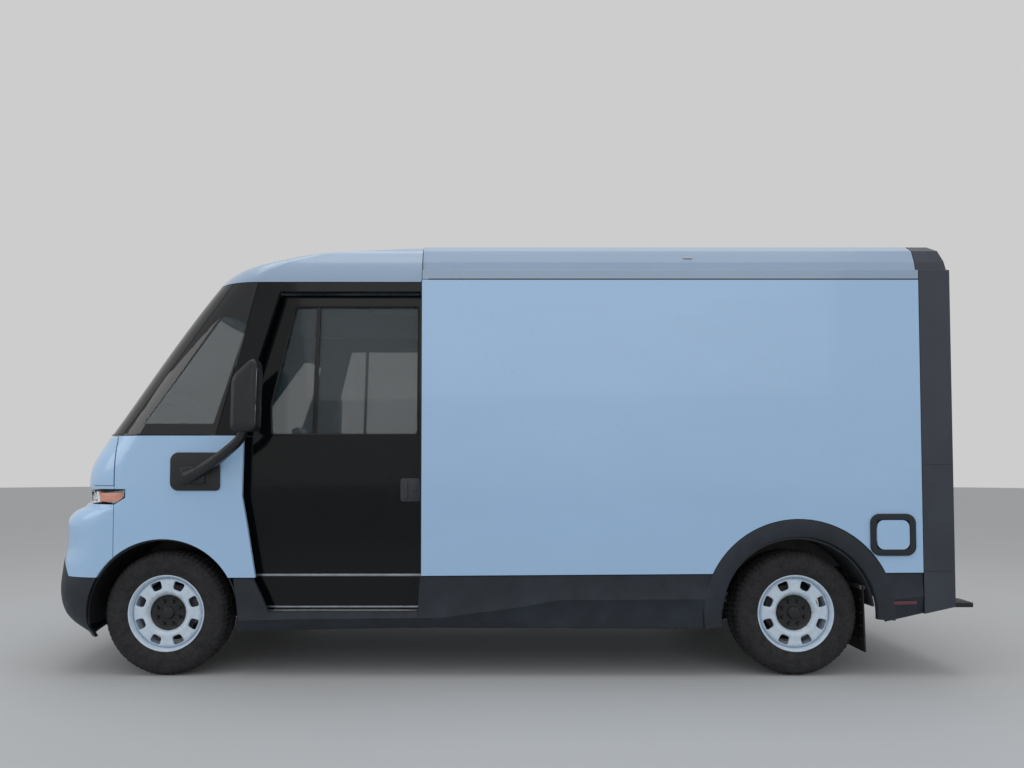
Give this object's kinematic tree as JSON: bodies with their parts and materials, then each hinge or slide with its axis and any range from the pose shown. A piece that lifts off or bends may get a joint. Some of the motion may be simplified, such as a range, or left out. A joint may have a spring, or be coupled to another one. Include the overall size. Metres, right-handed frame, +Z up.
{
  "type": "electric cargo van",
  "caption": "Walk-in delivery van with a flat floor, sliding cab doors, a tall box body, a roller rear door and steered front wheels.",
  "frame": {"origin": "on the ground, under the middle of the van's length and width", "axes": "+X to the front, +Y to the left, +Z up"},
  "size_m": [5.809, 2.66, 2.722],
  "materials": {
    "white_paint": "gloss solid paint, cool white",
    "roof_paint": "gloss solid paint, cool white",
    "dark_cladding": "textured moulded plastic",
    "gloss_black": "gloss black",
    "portal_dark": "satin dark grey",
    "tinted_glass": "grey tint",
    "lamp_clear": "clear lens over reflectors",
    "lamp_red": "red lens",
    "chassis_steel": "black coated steel",
    "battery_case": "bare sheet",
    "floor_panel": "non-slip floor",
    "inner_white": "satin",
    "interior_plastic": "grained",
    "seat_cloth": "woven cloth",
    "wheel_paint": "gloss light grey paint",
    "tyre": "matt",
    "mudflap_rubber": "matt",
    "bare_steel": "machined",
    "socket_plastic": "satin black"
  },
  "bodies": {
    "body": {"cab_roof": "roof_paint", "windscreen": "tinted_glass", "quarter_glass": "tinted_glass", "cab_frame": "gloss_black", "fenders": "white_paint", "nose_panel": "white_paint", "front_bumper": "dark_cladding", "headlamps": "lamp_clear", "arch_liners": "socket_plastic", "cargo_side_left": "white_paint", "cargo_side_right": "white_paint", "cargo_roof": "roof_paint", "rear_portal": "portal_dark", "tail_lamps": "lamp_red", "roller_door": "white_paint", "rear_step": "dark_cladding", "side_skirts": "dark_cladding", "mudflaps": "mudflap_rubber", "charge_socket": "socket_plastic", "chassis_frame": "chassis_steel", "battery_pack": "battery_case", "cab_floor": "floor_panel", "cargo_floor": "floor_panel", "bulkhead": "inner_white", "dashboard": "interior_plastic", "steering_column": "interior_plastic", "seat_bases": "interior_plastic", "driver_seat": "seat_cloth", "passenger_seat": "seat_cloth", "mirrors": "socket_plastic", "front_suspension": "chassis_steel", "drive_unit": "battery_case", "rear_axle": "chassis_steel"},
    "hood": {"hood": "white_paint"},
    "charge_flap": {"charge_flap": "white_paint"},
    "bulkhead_door": {"bulkhead_door": "inner_white"},
    "door_left": {"cab_door_left": "gloss_black", "door_glass_left": "tinted_glass"},
    "door_right": {"cab_door_right": "gloss_black", "door_glass_right": "tinted_glass"},
    "steering_wheel": {"steering_wheel": "interior_plastic"},
    "knuckle_left": {"knuckle_left": "bare_steel"},
    "knuckle_right": {"knuckle_right": "bare_steel"},
    "wheel_front_left": {"wheel_front_left": "wheel_paint", "tyre_front_left": "tyre"},
    "wheel_front_right": {"wheel_front_right": "wheel_paint", "tyre_front_right": "tyre"},
    "wheel_rear_left": {"wheel_rear_left": "wheel_paint", "tyre_rear_left": "tyre"},
    "wheel_rear_right": {"wheel_rear_right": "wheel_paint", "tyre_rear_right": "tyre"}
  },
  "joints": [
    {"name": "steer_left", "type": "hinge", "parent": "body", "child": "knuckle_left", "pos_m": [2.0695, 0.85, 0.382], "axis": [0, 0, 1], "range_deg": [-33, 33]},
    {"name": "steer_right", "type": "hinge", "parent": "body", "child": "knuckle_right", "pos_m": [2.0695, -0.85, 0.382], "axis": [0, 0, 1], "range_deg": [-33, 33]},
    {"name": "steering_wheel_turn", "type": "hinge", "parent": "body", "child": "steering_wheel", "pos_m": [1.3095, 0.43, 1.4], "axis": [-0.766, 0, 0.6428], "range_deg": [-495, 495]},
    {"name": "spin_front_left", "type": "hinge", "parent": "knuckle_left", "child": "wheel_front_left", "pos_m": [2.0695, 0.9, 0.382], "axis": [0, 1, 0], "continuous": true},
    {"name": "spin_front_right", "type": "hinge", "parent": "knuckle_right", "child": "wheel_front_right", "pos_m": [2.0695, -0.9, 0.382], "axis": [0, 1, 0], "continuous": true},
    {"name": "spin_rear_left", "type": "hinge", "parent": "body", "child": "wheel_rear_left", "pos_m": [-1.8165, 0.9, 0.382], "axis": [0, 1, 0], "continuous": true},
    {"name": "spin_rear_right", "type": "hinge", "parent": "body", "child": "wheel_rear_right", "pos_m": [-1.8165, -0.9, 0.382], "axis": [0, 1, 0], "continuous": true},
    {"name": "door_left_slide", "type": "slide", "parent": "body", "child": "door_left", "axis": [-1, 0, 0], "range_m": [0, 0.85]},
    {"name": "door_right_slide", "type": "slide", "parent": "body", "child": "door_right", "axis": [-1, 0, 0], "range_m": [0, 0.85]},
    {"name": "hood_hinge", "type": "hinge", "parent": "body", "child": "hood", "pos_m": [2.3765, 0, 1.5], "axis": [0, -1, 0], "range_deg": [0, 50]},
    {"name": "charge_flap_hinge", "type": "hinge", "parent": "body", "child": "charge_flap", "pos_m": [-2.2865, 1.08, 0.872], "axis": [0, 0, -1], "range_deg": [0, 100]},
    {"name": "bulkhead_door_slide", "type": "slide", "parent": "body", "child": "bulkhead_door", "axis": [0, 1, 0], "range_m": [0, 0.55]}
  ],
  "couplings": [
    {"joint": "steer_right", "follows": "steer_left", "ratio": 1},
    {"joint": "steering_wheel_turn", "follows": "steer_left", "ratio": 15}
  ]
}
